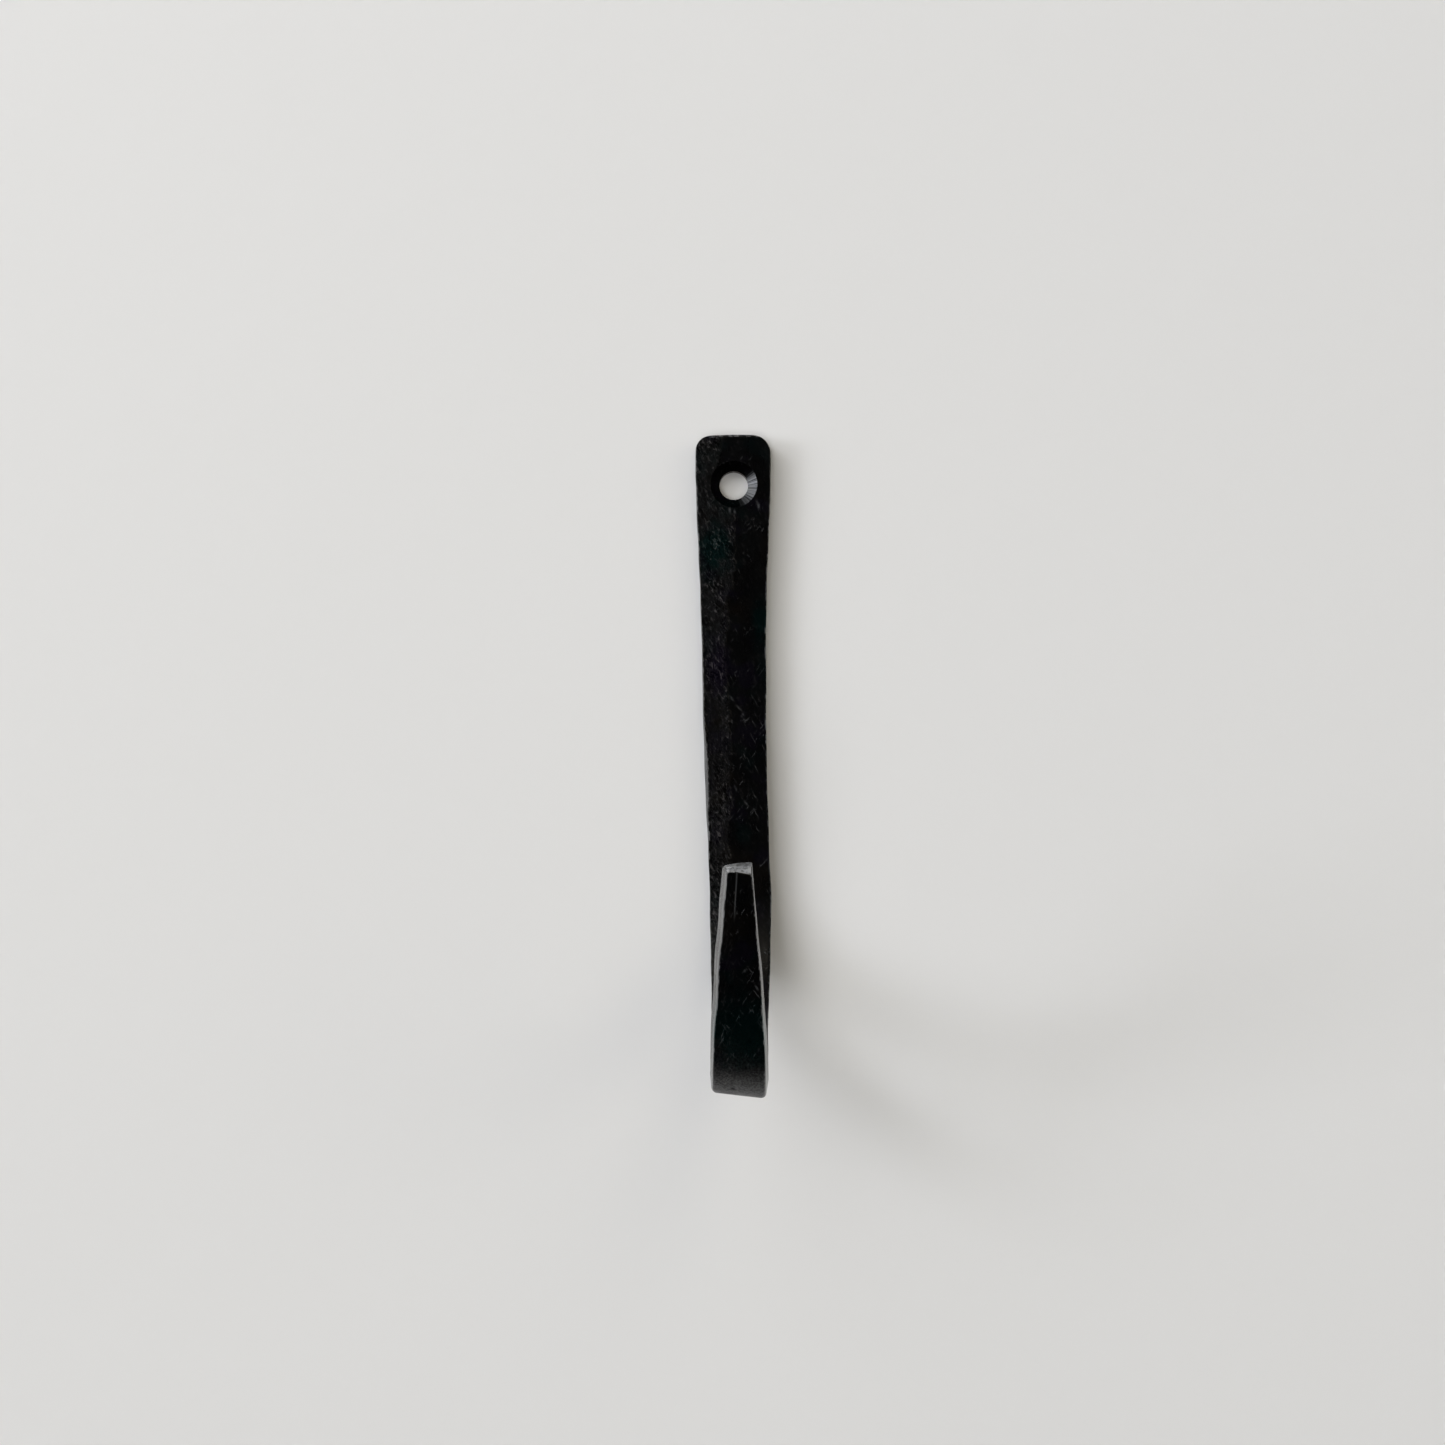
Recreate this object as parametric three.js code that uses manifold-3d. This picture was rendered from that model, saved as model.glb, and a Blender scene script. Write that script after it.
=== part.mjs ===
// Hand-forged steel wall hook, made from a single flat bar.
// The strap lies flat on the wall and has one countersunk screw hole near its top end. Below it the bar
// bends forwards, then up, and is drawn down to a blunt narrow tip.
//
// Millimetres, +Z up as it hangs. The wall is the plane Y = 0, the hook reaches out towards -Y, and the
// origin is the axis of the screw hole on the wall.

import * as THREE from 'three';
import { mergeVertices } from 'three/addons/utils/BufferGeometryUtils.js';
import Module from 'manifold-3d';

// The bar, followed along its centreline from the top end to the tip.
const thickness = 3.2;
const strapLength = 79.5;
const forwardBend = { radius: 30.5, degrees: 87 };
const upwardBend = { radius: 12.5, degrees: 72 };
const armLength = 31;
const topAboveHole = 9;

// Its outline: distance from the top end, full width, and how far its middle is to the right of the hole.
const outline = [
  { distance: 0, width: 13.5, middle: -0.15 },
  { distance: 8, width: 13.4, middle: -0.15 },
  { distance: 26, width: 12, middle: -0.1 },
  { distance: 60, width: 11.1, middle: 0.3 },
  { distance: 88, width: 10.7, middle: 1.25 },
  { distance: 112, width: 9.4, middle: 0.9 },
  { distance: 143, width: 8.5, middle: 0.45 },
  { distance: 172.5, width: 4.2, middle: 0.05 },
];
const cornerRadius = 3;

// Its section: small rounded chamfers on the long edges, and sides that lean in towards the outside of
// the hook, by this much at the outer face.
const chamfer = 0.35;
const chamferRounding = 0.3;
const lean = { left: 0.65, right: 0.35 };
const leanStart = 80;
const leanFull = 143;

// The hole for a countersunk wood screw.
const holeDiameter = 5.2;
const sinkDiameter = 8.45;
const sinkDegrees = 90;
const toolOverrun = 2;
const holeSides = 48;

const sectionStep = 1.8;
const cornerSteps = 6;
// Each section is a square grid of lines across and through the bar: two on its faces, two inside.
const gridSquares = 3;
const faceLine = gridSquares / 2;

const blackSteel = new THREE.MeshStandardMaterial({ color: 0x17171a, roughness: 0.42, metalness: 0.6 });

function bentPiece({ radius, degrees }) {
  return { radius, length: radius * THREE.MathUtils.degToRad(degrees) };
}

const pieces = [
  { radius: Infinity, length: strapLength },
  bentPiece(forwardBend),
  bentPiece(upwardBend),
  { radius: Infinity, length: armLength },
];
const barLength = pieces.reduce((sum, piece) => sum + piece.length, 0);

// How far a stretch of a piece goes forwards and down when it starts at a heading: 0 is straight down.
function travel(piece, heading, length) {
  if (piece.radius === Infinity) {
    return { forward: length * Math.sin(heading), down: length * Math.cos(heading), turn: 0 };
  }
  const turn = length / piece.radius;
  return {
    forward: piece.radius * (Math.cos(heading) - Math.cos(heading + turn)),
    down: piece.radius * (Math.sin(heading + turn) - Math.sin(heading)),
    turn,
  };
}

// The centreline's place and heading at a distance from the top end.
function centreline(distance) {
  let forward = thickness / 2;
  let down = -topAboveHole;
  let heading = 0;
  let left = distance;
  for (const piece of pieces) {
    const step = travel(piece, heading, Math.min(left, piece.length));
    forward += step.forward;
    down += step.down;
    heading += step.turn;
    left -= piece.length;
    if (left <= 0) break;
  }
  return { forward, down, heading };
}

const outlineCurve = new THREE.CubicInterpolant(
  outline.map((row) => row.distance),
  outline.flatMap((row) => [row.width, row.middle]),
  2,
);

// How far a rounded corner of the top end takes each side in at a distance from that end.
function cornerInset(distance) {
  const rest = Math.max(cornerRadius - distance, 0);
  return cornerRadius - Math.sqrt(cornerRadius ** 2 - rest ** 2);
}

// Distances of the sections: close together round the corners, then evenly spaced.
function sectionDistances() {
  const corners = Array.from({ length: cornerSteps }, (_, step) =>
    cornerRadius * (1 - Math.cos((step * Math.PI) / 2 / cornerSteps)));
  const rest = barLength - cornerRadius;
  const steps = Math.ceil(rest / sectionStep);
  const even = Array.from({ length: steps + 1 }, (_, step) => cornerRadius + (rest * step) / steps);
  return [...corners, ...even];
}

const isOnFace = (line) => Math.abs(line) === faceLine;

// One coordinate of a grid point. The outer lines lie on the faces and the inner ones where the chamfers
// start, and a corner point is pulled in to round its chamfer off.
function offsetOfLine(line, half, isOnOtherFace) {
  const faceInset = isOnOtherFace ? chamfer * chamferRounding : 0;
  return Math.sign(line) * (half - (isOnFace(line) ? faceInset : chamfer));
}

// The place in a section of a grid point: across goes from the left side to the right one, and through
// from the outside of the hook to the inside.
function sectionPoint(distance, across, through) {
  const [width, middle] = outlineCurve.evaluate(Math.min(distance, outline.at(-1).distance));
  const fullLean = across < 0 ? lean.left : lean.right;
  const leanShare = THREE.MathUtils.smoothstep(distance, leanStart, leanFull);
  const sideLean = (fullLean * leanShare * (faceLine - through)) / gridSquares;
  const halfWidth = width / 2 - cornerInset(distance) - sideLean;
  return {
    x: middle + offsetOfLine(across, halfWidth, isOnFace(through)),
    y: offsetOfLine(through, thickness / 2, isOnFace(across)),
  };
}

function forgedBar() {
  const distances = sectionDistances();
  const lastSection = distances.length - 1;
  const box = new THREE.BoxGeometry(
    gridSquares, gridSquares, lastSection, gridSquares, gridSquares, lastSection,
  );
  box.deleteAttribute('normal');
  box.deleteAttribute('uv');
  const solid = mergeVertices(box);
  const position = solid.getAttribute('position');
  for (let i = 0; i < position.count; i += 1) {
    const distance = distances[Math.round(position.getZ(i) + lastSection / 2)];
    const place = sectionPoint(distance, position.getX(i), position.getY(i));
    const { forward, down, heading } = centreline(distance);
    position.setXYZ(
      i,
      place.x,
      -forward - place.y * Math.cos(heading),
      -down + place.y * Math.sin(heading),
    );
  }
  return solid;
}

// The cutter for the hole and its countersink, which opens to the front.
function holeCutter() {
  const slope = Math.tan(THREE.MathUtils.degToRad(sinkDegrees / 2));
  const sinkDepth = (sinkDiameter - holeDiameter) / 2 / slope;
  const profile = [
    new THREE.Vector2(0, -thickness - toolOverrun),
    new THREE.Vector2(sinkDiameter / 2 + toolOverrun * slope, -thickness - toolOverrun),
    new THREE.Vector2(holeDiameter / 2, -thickness + sinkDepth),
    new THREE.Vector2(holeDiameter / 2, toolOverrun),
    new THREE.Vector2(0, toolOverrun),
  ];
  const cutter = new THREE.LatheGeometry(profile, holeSides);
  cutter.deleteAttribute('normal');
  cutter.deleteAttribute('uv');
  return mergeVertices(cutter);
}

const wasm = await Module();
wasm.setup();

function toSolid(geometry) {
  return new wasm.Manifold(new wasm.Mesh({
    numProp: 3,
    vertProperties: new Float32Array(geometry.getAttribute('position').array),
    triVerts: new Uint32Array(geometry.getIndex().array),
  }));
}

function toGeometry(solid) {
  const mesh = solid.getMesh();
  const geometry = new THREE.BufferGeometry();
  geometry.setAttribute('position', new THREE.BufferAttribute(mesh.vertProperties, 3));
  geometry.setIndex(new THREE.BufferAttribute(mesh.triVerts, 1));
  geometry.computeVertexNormals();
  return geometry;
}

const hook = new THREE.Mesh(
  toGeometry(toSolid(forgedBar()).subtract(toSolid(holeCutter()))),
  blackSteel,
);
hook.name = 'forged_hook';

const group = new THREE.Group();
group.add(hook);

export default group;
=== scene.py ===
"""Looks of the forged wall hook: a hammered black bar with worn edges, on a plain pale wall.

The bar is built straight as a box of small cells, given its outline, hammer marks and scratches, and then
bent along its centreline. Sizes are in millimetres and repeat the part's own driving dimensions.
"""

import math
import random
from types import SimpleNamespace

import bmesh
import bpy
import numpy as np
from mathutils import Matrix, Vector, noise

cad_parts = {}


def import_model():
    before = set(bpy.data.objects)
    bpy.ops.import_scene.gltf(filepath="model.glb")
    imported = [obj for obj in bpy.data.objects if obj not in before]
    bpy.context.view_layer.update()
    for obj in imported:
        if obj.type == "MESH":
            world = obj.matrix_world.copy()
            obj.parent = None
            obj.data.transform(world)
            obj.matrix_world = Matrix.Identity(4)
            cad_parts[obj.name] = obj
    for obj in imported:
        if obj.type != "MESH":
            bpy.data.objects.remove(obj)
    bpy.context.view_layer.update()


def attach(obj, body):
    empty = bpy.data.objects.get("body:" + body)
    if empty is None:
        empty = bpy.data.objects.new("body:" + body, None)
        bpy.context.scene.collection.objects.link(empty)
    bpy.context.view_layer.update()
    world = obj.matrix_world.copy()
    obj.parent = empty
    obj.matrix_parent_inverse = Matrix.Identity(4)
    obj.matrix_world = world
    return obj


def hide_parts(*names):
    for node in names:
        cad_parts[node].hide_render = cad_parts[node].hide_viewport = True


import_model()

MM = 0.001

# The bar along its centreline, from the top end to the tip: (length, bend radius or None).
THICKNESS = 3.2
TOP_ABOVE_HOLE = 9.0
STRAP = 79.5
BEND_RADIUS, BEND_TURN = 30.5, math.radians(87)
RETURN_RADIUS, RETURN_TURN = 12.5, math.radians(72)
ARM = 31.0
PIECES = (
    (STRAP, None),
    (BEND_RADIUS * BEND_TURN, BEND_RADIUS),
    (RETURN_RADIUS * RETURN_TURN, RETURN_RADIUS),
    (ARM, None),
)
BAR_LENGTH = sum(length for length, radius in PIECES)
BEND_BOTTOM = 126.0

# Outline: distance from the top end, full width, and how far its middle is to the right of the hole.
OUTLINE = np.array((
    (0, 13.5, -0.15),
    (8, 13.4, -0.15),
    (26, 12.0, -0.1),
    (60, 11.1, 0.3),
    (88, 10.7, 1.25),
    (112, 9.4, 0.9),
    (143, 8.5, 0.45),
    (BAR_LENGTH, 4.2, 0.05),
))
CORNER_LEFT, CORNER_RIGHT = 2.6, 3.3
BULGE = 0.12
# The sides waver: length of the waves, their size, and which part of the noise they follow.
LEFT_WANDER, RIGHT_WANDER = (7.0, 0.16, 3.0), (8.0, 0.14, 9.0)

# Edges and ends. The long edges are rounder on the outside of the bend, and neither end is cut square.
EDGE_RADIUS = 0.25
BEND_EDGE_RADIUS, BEND_EDGE_REACH = 1.0, 14.0
TOP_BEVEL, TOP_RINGS = 0.5, 4
TOP_ARCH, TOP_ARCH_MIDDLE, TOP_ARCH_HALF, TOP_ARCH_REACH = 0.3, 1.0, 7.0, 6.0
TIP_BEVEL, TIP_RINGS = 0.3, 3
TIP_SKEW, TIP_HALF, TIP_SKEW_REACH = 0.45, 2.1, 3.0
TIP_CORNER_LEFT = 0.7
TWIST, TWIST_REACH = 0.12, 26.0

# How much narrower each side is at the outside of the hook, and the left side at the inside of it:
# distance from the top end, left at the outside, right at the outside, left at the inside.
LEANS = np.array((
    (0, 0.0, 0.0, 0.1),
    (40, 0.0, 0.0, 0.2),
    (52, 0.0, 0.0, 0.3),
    (60, 0.0, 0.0, 0.7),
    (67, 0.0, 0.0, 0.5),
    (76, 0.0, 0.0, 0.15),
    (112, 0.2, 0.3, 0.0),
    (134, 0.34, 0.55, 0.0),
    (149, 0.62, 0.4, 0.0),
    (160, 0.7, 0.2, 0.0),
    (BAR_LENGTH, 0.72, 0.0, 0.0),
))

HOLE_DIAMETER = 5.2
SINK_DIAMETER = 8.45
CUTTER_SIDES, CONE_RINGS, CUTTER_OVERRUN = 240, 14, 1.0
RIPPLE_WAVES, RIPPLE_COUNTS, RIPPLE_SIZE, RIPPLE_START = 9, (22, 70), 0.012, 6
# How far past the countersink's rim places on the bar are worked out anew, and how far its faces reach.
HOLE_REACH, RIM_REACH = 1.0, 0.05
# How squarely faces of the cone and the bore look at the hole's axis, and those of the tip's end along the
# bar, at the least.
CONE_FACING, BORE_FACING, TIP_FACING = 0.4, 0.9, 0.8

# Cells of the mesh, and the sharpest turn that is shaded smooth.
CELL = 0.24
EDGE_LINES = 3
SMOOTH_DEGREES = 38

# The ridge of the strap's front face: distance from the top end and place across.
RIDGE = np.array((
    (0, -2.4),
    (9, -2.6),
    (16, 0.2),
    (22, 0.2),
    (34, -1.3),
    (42, -1.4),
    (50, -0.8),
    (58, -0.6),
    (68, -0.9),
    (80, -0.6),
    (BAR_LENGTH, -0.6),
))
RIDGE_WAVE, RIDGE_WAVE_LENGTH = 0.12, 1.7
RIDGE_LEFT_FALL, RIDGE_RIGHT_FALL, RIDGE_ROUNDING = 0.05, 0.014, 0.03
RIDGE_RISE, RIDGE_END = (14, 30), (95, 125)

# Short scratches on the inside face: distance from the top end, place across, length, angle from
# straight along the bar in degrees, width and depth.
SCRATCHES = (
    (12.8, 4.4, 1.2, 14, 0.13, 0.05),
    (13.6, -0.7, 0.9, -8, 0.12, 0.05),
    (13.9, 0.1, 0.7, 12, 0.11, 0.04),
    (47.6, -0.4, 1.0, 38, 0.1, 0.03),
    (49.3, 0.9, 1.1, 44, 0.1, 0.03),
    (50.6, 1.6, 0.8, -30, 0.1, 0.03),
    (51.0, -1.3, 1.0, -35, 0.1, 0.03),
    (63.8, 0.3, 0.9, 20, 0.1, 0.03),
    (66.5, 2.2, 1.0, 35, 0.1, 0.03),
)
FULL_SCRATCH = 0.04
# Pits: distance from the top end, place across, width and depth.
INSIDE_PITS = (
    (17.2, 4.6, 0.4, 0.06),
    (33.5, 2.4, 0.3, 0.05),
    (40.9, -1.4, 0.45, 0.06),
    (57.4, -2.6, 0.35, 0.05),
    (60.2, 3.1, 0.3, 0.05),
    (71.5, 0.9, 0.35, 0.05),
    (76.0, -2.0, 0.4, 0.05),
)
OUTSIDE_PITS = (
    (134.2, -0.5, 0.3, 0.12),
    (139.5, 1.6, 0.35, 0.05),
    (144.0, 2.2, 0.45, 0.05),
    (153.5, -0.9, 0.35, 0.05),
    (161.0, 0.8, 0.3, 0.04),
)
FULL_PIT = 0.05
# The crease that runs down the arm from the tip: distance from the top end and place across.
CREASE = np.array(((164.0, -0.5), (167.5, -0.35), (BAR_LENGTH, 0.0)))
CREASE_WIDTH, CREASE_DEPTH = 0.11, 0.06


# --- The straight bar ----------------------------------------------------------------------------------


def smoothstep(low, high, value):
    share = np.clip((value - low) / (high - low), 0, 1)
    return share * share * (3 - 2 * share)


def through_rows(rows, distance):
    """Each value column of the rows at the distances, as smooth curves through the rows."""
    places = rows[:, 0]
    i = np.clip(np.searchsorted(places, distance) - 1, 0, len(rows) - 2)
    span = places[i + 1] - places[i]
    t = np.clip((distance - places[i]) / span, 0, 1)
    columns = []
    for values in rows[:, 1:].T:
        slope = np.gradient(values, places)
        columns.append(
            (2 * t**3 - 3 * t**2 + 1) * values[i]
            + (t**3 - 2 * t**2 + t) * span * slope[i]
            + (3 * t**2 - 2 * t**3) * values[i + 1]
            + (t**3 - t**2) * span * slope[i + 1]
        )
    return columns


def centreline(distance):
    """How far forward and down the bar's middle is, and its heading, where 0 is straight down."""
    forward = np.full_like(distance, THICKNESS / 2)
    down = np.full_like(distance, -TOP_ABOVE_HOLE)
    heading = np.zeros_like(distance)
    left = distance.copy()
    for length, radius in PIECES:
        run = np.clip(left, 0, length)
        if radius is None:
            forward += run * np.sin(heading)
            down += run * np.cos(heading)
        else:
            turned = heading + run / radius
            forward += radius * (np.cos(heading) - np.cos(turned))
            down += radius * (np.sin(turned) - np.sin(heading))
            heading = turned
        left = left - run
    return forward, down, heading


def round_inset(distance, radius):
    """How far a quarter round of this radius takes a side in at a distance from the end."""
    rest = np.clip(radius - distance, 0, radius)
    return radius - np.sqrt(radius**2 - rest**2)


def wander(values, scale, amount, seed):
    return np.array([amount * noise.noise((v / scale, seed, 0.0)) for v in values])


def end_rings(bevel, rings):
    """Places of the sections that round a bevelled end, measured from that end."""
    return bevel * (1 - np.cos(np.linspace(0, math.pi / 2, rings + 1)[:-1]))


def section_distances():
    return np.concatenate([
        end_rings(TOP_BEVEL, TOP_RINGS),
        np.linspace(TOP_BEVEL, BAR_LENGTH - TIP_BEVEL, int(BAR_LENGTH / CELL)),
        BAR_LENGTH - end_rings(TIP_BEVEL, TIP_RINGS)[::-1],
    ])


def section_sides(distance, width):
    """How far each section reaches to the left, to the right and to each face."""
    bevel = round_inset(distance, TOP_BEVEL) + round_inset(BAR_LENGTH - distance, TIP_BEVEL)
    full = width / 2 + BULGE - bevel
    left = full - round_inset(distance, CORNER_LEFT) + wander(distance, *LEFT_WANDER)
    left -= round_inset(BAR_LENGTH - distance, TIP_CORNER_LEFT)
    right = full - round_inset(distance, CORNER_RIGHT) + wander(distance, *RIGHT_WANDER)
    return left, right, THICKNESS / 2 - bevel


def outside_edge_radius(distance):
    bend_share = 1 - smoothstep(0, BEND_EDGE_REACH, abs(distance - BEND_BOTTOM))
    return EDGE_RADIUS + bend_share * (BEND_EDGE_RADIUS - EDGE_RADIUS)


def lines_between(half_low, half_high, middle_lines):
    """Line places from -half_low to half_high for each section, closer together at the rounded edges."""
    edge = EDGE_RADIUS * np.linspace(0, 1, EDGE_LINES + 1)
    low = -half_low[:, None] + edge[None, :]
    high = half_high[:, None] - edge[None, ::-1]
    share = np.linspace(0, 1, middle_lines + 1)[None, 1:-1]
    middle = low[:, -1:] * (1 - share) + high[:, :1] * share
    return np.hstack([low, middle, high])


def round_edges(x, y, low_x, high_x, half_y, outside_radius):
    """Moves points near a section's four corners onto its rounded edges, and tells which those are."""
    radius = np.where(y < 0, outside_radius, EDGE_RADIUS)
    centre_x = np.clip(x, low_x + radius, high_x - radius)
    centre_y = np.clip(y, -half_y + radius, half_y - radius)
    dx, dy = x - centre_x, y - centre_y
    length = np.maximum(np.hypot(dx, dy), 1e-9)
    scale = np.maximum(abs(dx), abs(dy)) / length
    sharpness = EDGE_RADIUS / radius
    corner = np.minimum(abs(dx), abs(dy)) / radius
    return centre_x + dx * scale, centre_y + dy * scale, sharpness * np.sqrt(corner)


def quads(grid):
    return np.stack([grid[:-1, :-1], grid[1:, :-1], grid[1:, 1:], grid[:-1, 1:]], -1).reshape(-1, 4)


def box_skin(shape):
    """The places in a grid of this shape that lie on its skin, and the skin's faces."""
    skin = np.zeros(shape, bool)
    skin[0], skin[-1] = True, True
    skin[:, 0], skin[:, -1] = True, True
    skin[:, :, 0], skin[:, :, -1] = True, True
    index = np.full(shape, -1)
    index[skin] = np.arange(skin.sum())
    faces = np.vstack([
        quads(index[0]),
        quads(index[-1])[:, ::-1],
        quads(index[:, 0])[:, ::-1],
        quads(index[:, -1]),
        quads(index[:, :, 0]),
        quads(index[:, :, -1])[:, ::-1],
    ])
    return np.nonzero(skin), faces


def bar_skin():
    """The straight bar: its vertices, their sections' middles and sides, and its faces."""
    distance = section_distances()
    width, middle = through_rows(OUTLINE, distance)
    left, right, half_y = section_sides(distance, width)
    across_lines = lines_between(left, right, int(width.mean() / CELL))
    through_lines = lines_between(half_y, half_y, int(THICKNESS / CELL))
    shape = (len(distance), through_lines.shape[1], across_lines.shape[1])
    (k, j, i), faces = box_skin(shape)
    x, y, edge = round_edges(
        across_lines[k, i],
        through_lines[k, j],
        -left[k],
        right[k],
        half_y[k],
        outside_edge_radius(distance)[k],
    )
    return SimpleNamespace(
        distance=distance[k],
        x=x,
        y=y,
        edge=edge,
        middle=middle[k],
        left=left[k],
        right=right[k],
        faces=faces,
    )


# --- Hammer marks, pits and scratches ------------------------------------------------------------------


class Dents:
    """Shallow hammer marks on one face: the lowest of many wide bowls, softened where they meet."""

    COLUMN_SPREAD = 0.4
    SOFTNESS = 0.006

    def __init__(self, seed, columns, pitch, radius, depth):
        rng = random.Random(seed)
        self.marks = []
        for column in columns:
            distance = rng.uniform(0, pitch)
            while distance < BAR_LENGTH + pitch:
                self.marks.append((
                    distance,
                    column + rng.uniform(-self.COLUMN_SPREAD, self.COLUMN_SPREAD),
                    radius * rng.uniform(0.7, 1.5),
                    rng.uniform(0, depth),
                ))
                distance += pitch * rng.uniform(0.6, 1.4)

    def height(self, distance, across):
        total = np.ones_like(distance)
        for mark_distance, mark_across, radius, low in self.marks:
            gap = (distance - mark_distance) ** 2 + (across - mark_across) ** 2
            bowl = gap / (2 * radius) - low
            total += np.exp(-np.clip(bowl, -1, 1) / self.SOFTNESS)
        return -self.SOFTNESS * np.log(total)


INSIDE_DENTS = Dents(11, columns=(-3.4, 2.2), pitch=8.0, radius=85.0, depth=0.05)
OUTSIDE_DENTS = Dents(12, columns=(-2.2, 2.6), pitch=9.0, radius=90.0, depth=0.05)
LEFT_DENTS = Dents(13, columns=(0.0,), pitch=9.0, radius=120.0, depth=0.08)
RIGHT_DENTS = Dents(14, columns=(0.0,), pitch=10.0, radius=120.0, depth=0.07)
# Forge scale: fine and wide unevenness, as how many waves a millimetre and how high, in wide patches.
FINE_SCALE, WIDE_SCALE = (1.9, 0.010), (0.8, 0.005)
SCALE_PATCH_WAVES, SCALE_STRETCH = 0.23, 0.6
# How much of it shows on the sides.
SIDE_ROUGHNESS = 0.3


def scratch_depth(distance, across):
    depth = np.zeros_like(distance)
    for middle, place, length, degrees, width, deep in SCRATCHES:
        turn = math.radians(degrees)
        along = (distance - middle) * math.cos(turn) + (across - place) * math.sin(turn)
        aside = (across - place) * math.cos(turn) - (distance - middle) * math.sin(turn)
        depth += deep * np.exp(-((aside / width) ** 2) - (2 * along / length) ** 2)
    return depth


def pit_depth(pits, distance, across):
    depth = np.zeros_like(distance)
    for middle, place, width, deep in pits:
        gap = (distance - middle) ** 2 + (across - place) ** 2
        depth += deep * np.exp(-gap / width**2)
    return depth


def crease_share(distance, across):
    """Where the crease on the outside of the arm is, from 0 beside it to 1 on it."""
    line = np.interp(distance, CREASE[:, 0], CREASE[:, 1])
    fade = smoothstep(CREASE[0, 0], CREASE[1, 0], distance)
    return fade * np.exp(-(((across - line) / CREASE_WIDTH) ** 2))


def right_of_ridge(distance, across):
    wave = RIDGE_WAVE * np.sin(distance / RIDGE_WAVE_LENGTH)
    return across - through_rows(RIDGE, distance)[0] - wave


def ridge_height(offset, distance):
    """The strap's front face falls away to both sides of a wandering ridge left of its middle."""
    left_fall = RIDGE_LEFT_FALL * np.sqrt(np.clip(-offset, 0, None) ** 2 + RIDGE_ROUNDING)
    right_fall = RIDGE_RIGHT_FALL * np.sqrt(np.clip(offset, 0, None) ** 2 + RIDGE_ROUNDING)
    share = smoothstep(*RIDGE_RISE, distance) * (1 - smoothstep(*RIDGE_END, distance))
    return -share * (left_fall + right_fall)


def scale_height(x, y, distance):
    """The unevenness of the scale. The fine part of it comes and goes in patches."""
    (fine_waves, fine_height), (wide_waves, wide_height) = FINE_SCALE, WIDE_SCALE
    heights = []
    for point in np.stack([x, y, distance * SCALE_STRETCH], 1).tolist():
        spot = Vector(point)
        patch = max(0.0, min(1.0, 0.6 + 1.6 * noise.noise(spot * SCALE_PATCH_WAVES)))
        fine = fine_height * patch * noise.noise(spot * fine_waves)
        heights.append(fine + wide_height * noise.noise(spot * wide_waves))
    return np.array(heights)


# --- The bent bar --------------------------------------------------------------------------------------

# Where the outside face comes free of the wall and its marks set in, and where the right side is polished.
OUTSIDE_MARKS = (STRAP - 4, STRAP + 8)
RIGHT_POLISH, RIGHT_POLISH_END = (100, 130), (143, 160)


def face_shares(skin):
    """How much each vertex belongs to the left side, the right side, the inside face and the outside face."""
    half = np.where(skin.x < 0, skin.left, skin.right)
    side = smoothstep(-EDGE_RADIUS, 0, abs(skin.x) - half * 0.999) * np.sign(skin.x)
    inside = (1 - abs(side)) * smoothstep(0, THICKNESS / 2, skin.y)
    outside = (1 - abs(side)) * smoothstep(0, THICKNESS / 2, -skin.y)
    return np.clip(-side, 0, 1), np.clip(side, 0, 1), inside, outside


def lean_sides(skin):
    """Draws the sides in towards the outside of the hook, and the strap's left side to its front."""
    left_outside, right_outside, left_inside = through_rows(LEANS, skin.distance)
    outside = 0.5 - skin.y / THICKNESS
    from_left = left_outside * outside + left_inside * (1 - outside)
    from_right = right_outside * outside
    left_share = np.clip(-skin.x / np.maximum(skin.left, 0.5), 0, 1)
    right_share = np.clip(skin.x / np.maximum(skin.right, 0.5), 0, 1)
    return skin.x + left_share * from_left - right_share * from_right


def twist_and_cut(distance, x, y):
    """Twists the bar a little at the bottom of the bend, and cuts its ends a little out of square."""
    twist = TWIST * (1 - smoothstep(0, TWIST_REACH, abs(distance - BEND_BOTTOM)))
    tip = smoothstep(BAR_LENGTH - TIP_SKEW_REACH, BAR_LENGTH, distance)
    top = 1 - smoothstep(0, TOP_ARCH_REACH, distance)
    cut = distance + tip * TIP_SKEW * (x / TIP_HALF) * (y / (THICKNESS / 2))
    cut += top * TOP_ARCH * ((x - TOP_ARCH_MIDDLE) / TOP_ARCH_HALF) ** 2
    return cut, y - twist * x


def place_in_space(distance, x, y, middle):
    """Bends the straight bar: y is across its thickness, towards the inside of the hook."""
    forward, down, heading = centreline(distance)
    return np.stack([
        middle + x,
        -forward - y * np.cos(heading),
        -down + y * np.sin(heading),
    ], 1) * MM


def new_mesh_object(name, vertices, faces):
    mesh = bpy.data.meshes.new(name)
    mesh.from_pydata(vertices, [], faces)
    mesh.validate()
    mesh.update()
    piece = bpy.data.objects.new(name, mesh)
    bpy.context.scene.collection.objects.link(piece)
    return piece


def store(piece, name, domain, values):
    is_vector = values.ndim == 2
    attributes = piece.data.attributes
    if name in attributes:
        attributes.remove(attributes[name])
    attribute = attributes.new(name, "FLOAT_VECTOR" if is_vector else "FLOAT", domain)
    attribute.data.foreach_set("vector" if is_vector else "value", values.ravel())


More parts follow.
